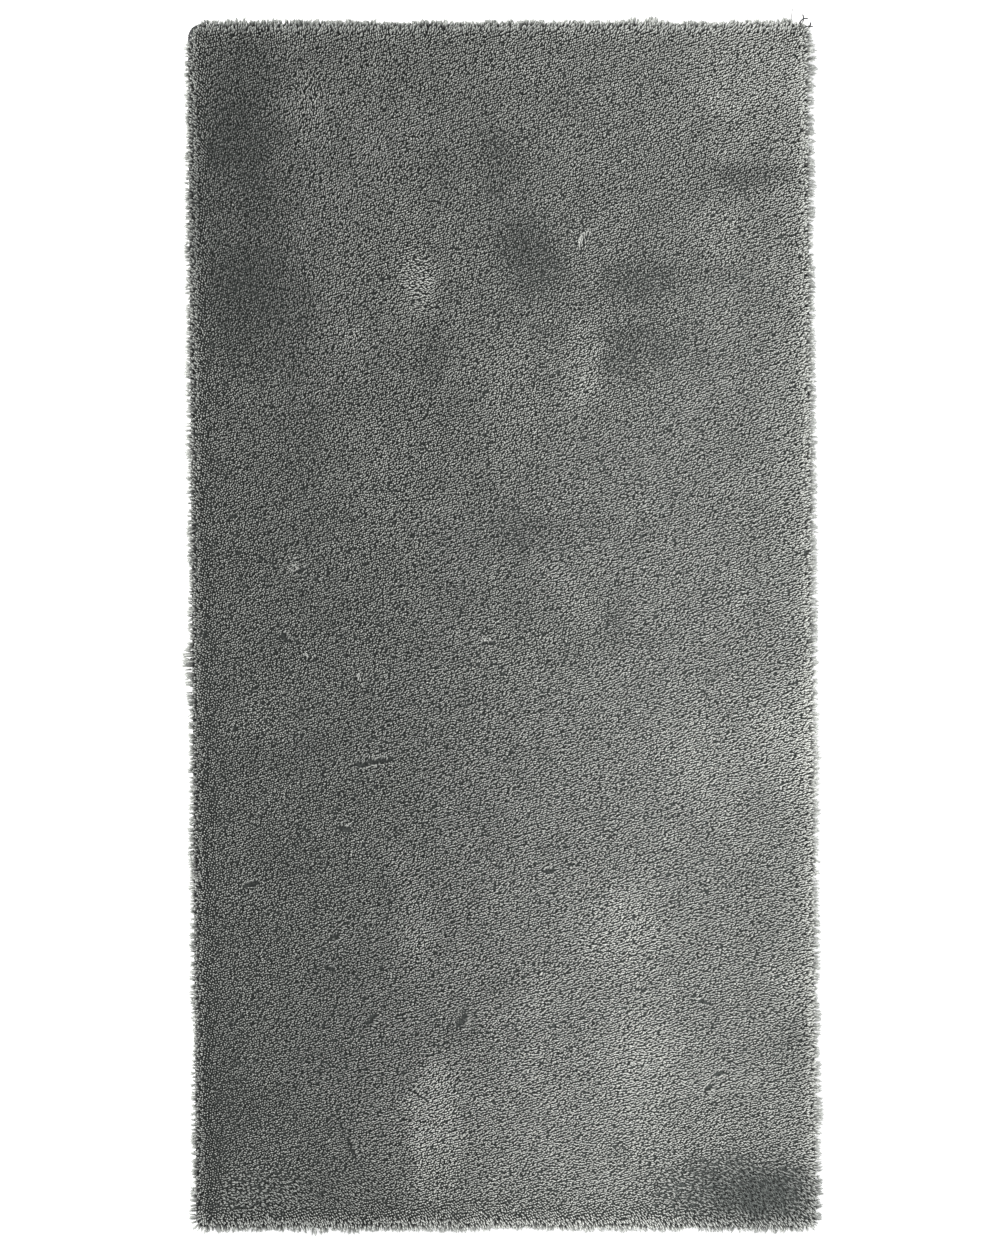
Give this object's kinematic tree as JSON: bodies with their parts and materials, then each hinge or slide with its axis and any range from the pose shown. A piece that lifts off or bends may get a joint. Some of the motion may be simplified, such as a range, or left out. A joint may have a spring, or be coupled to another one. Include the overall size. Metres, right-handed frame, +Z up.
{
  "type": "shag rug",
  "caption": "Rectangular shag rug: a thin woven backing cloth carrying a dense, soft, brushed cut pile that leans out over its edges.",
  "frame": {"origin": "on the floor under the middle of the rug's overall size", "axes": "+X across the rug, +Y along it towards its far end, +Z up, away from the floor"},
  "size_m": [0.7882, 1.5066, 0.0356],
  "materials": {
    "backing_cloth": "plain woven cloth, dark grey, matte, with a dark overlocked edge",
    "pile_yarn": "soft cut pile of fine polyester yarn, mid grey, with a faint sheen along the strands"
  },
  "bodies": {
    "root": {"backing": "backing_cloth", "pile": "pile_yarn"}
  },
  "joints": []
}
